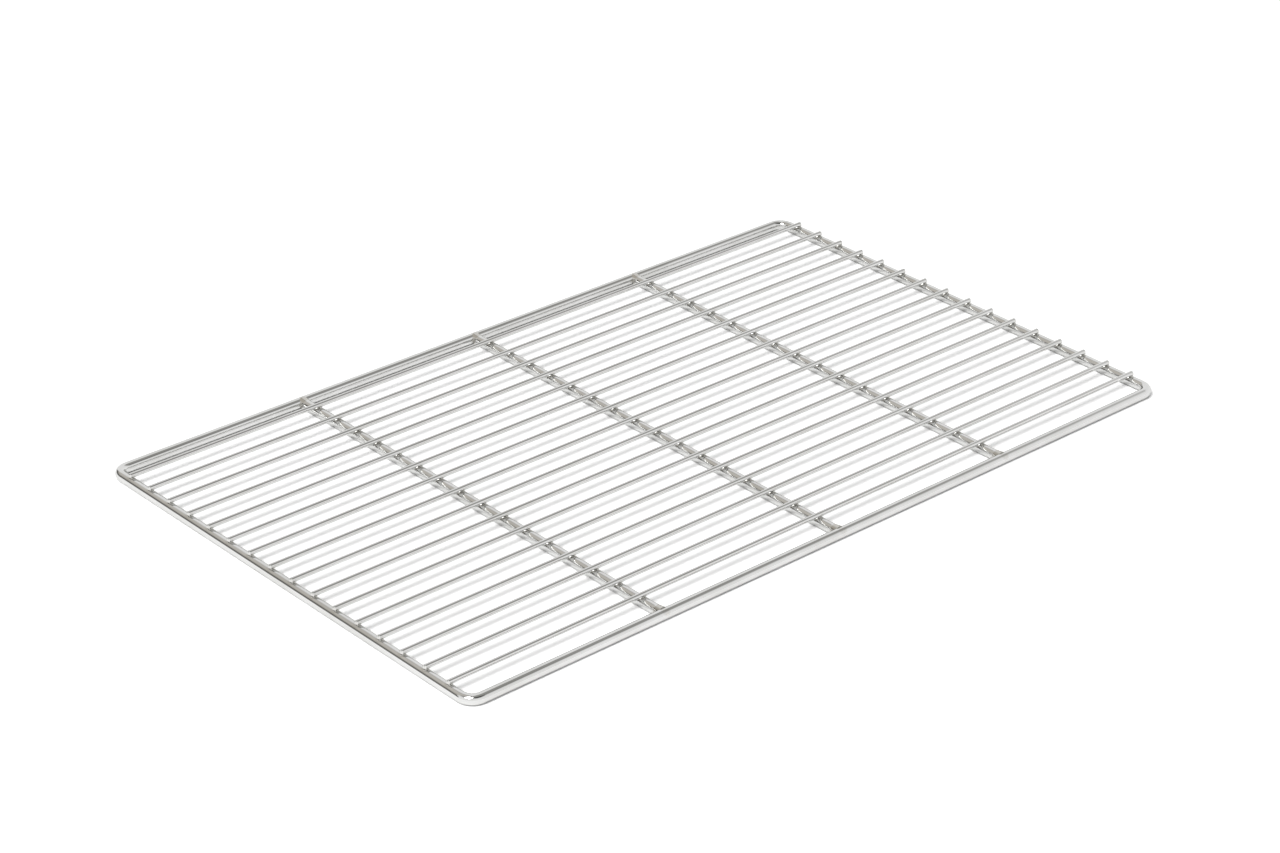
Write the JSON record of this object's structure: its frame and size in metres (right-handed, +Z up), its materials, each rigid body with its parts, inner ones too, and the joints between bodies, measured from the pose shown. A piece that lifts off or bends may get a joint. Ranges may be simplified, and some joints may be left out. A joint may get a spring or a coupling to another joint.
{
  "type": "wire rack",
  "caption": "Flat rectangular welded wire rack: a closed frame of thick round wire with rounded corners, crossbars between its long sides, and thin parallel grid wires laid over them.",
  "frame": {"origin": "centre of the rack, on the surface that the frame's wire lies on", "axes": "+X along the grid wires, the long way; +Y across the rack; +Z up, from the frame to the grid wires that lie on it"},
  "size_m": [0.53, 0.325, 0.0093],
  "materials": {
    "frame_steel": "drawn stainless wire, electropolished bright",
    "crossbar_steel": "drawn stainless wire, electropolished bright",
    "grid_steel": "drawn stainless wire, electropolished bright"
  },
  "bodies": {
    "root": {"frame": "frame_steel", "crossbar_1": "crossbar_steel", "crossbar_2": "crossbar_steel", "crossbar_3": "crossbar_steel", "grid_wire_01": "grid_steel", "grid_wire_02": "grid_steel", "grid_wire_03": "grid_steel", "grid_wire_04": "grid_steel", "grid_wire_05": "grid_steel", "grid_wire_06": "grid_steel", "grid_wire_07": "grid_steel", "grid_wire_08": "grid_steel", "grid_wire_09": "grid_steel", "grid_wire_10": "grid_steel", "grid_wire_11": "grid_steel", "grid_wire_12": "grid_steel", "grid_wire_13": "grid_steel", "grid_wire_14": "grid_steel", "grid_wire_15": "grid_steel", "grid_wire_16": "grid_steel"}
  },
  "joints": []
}
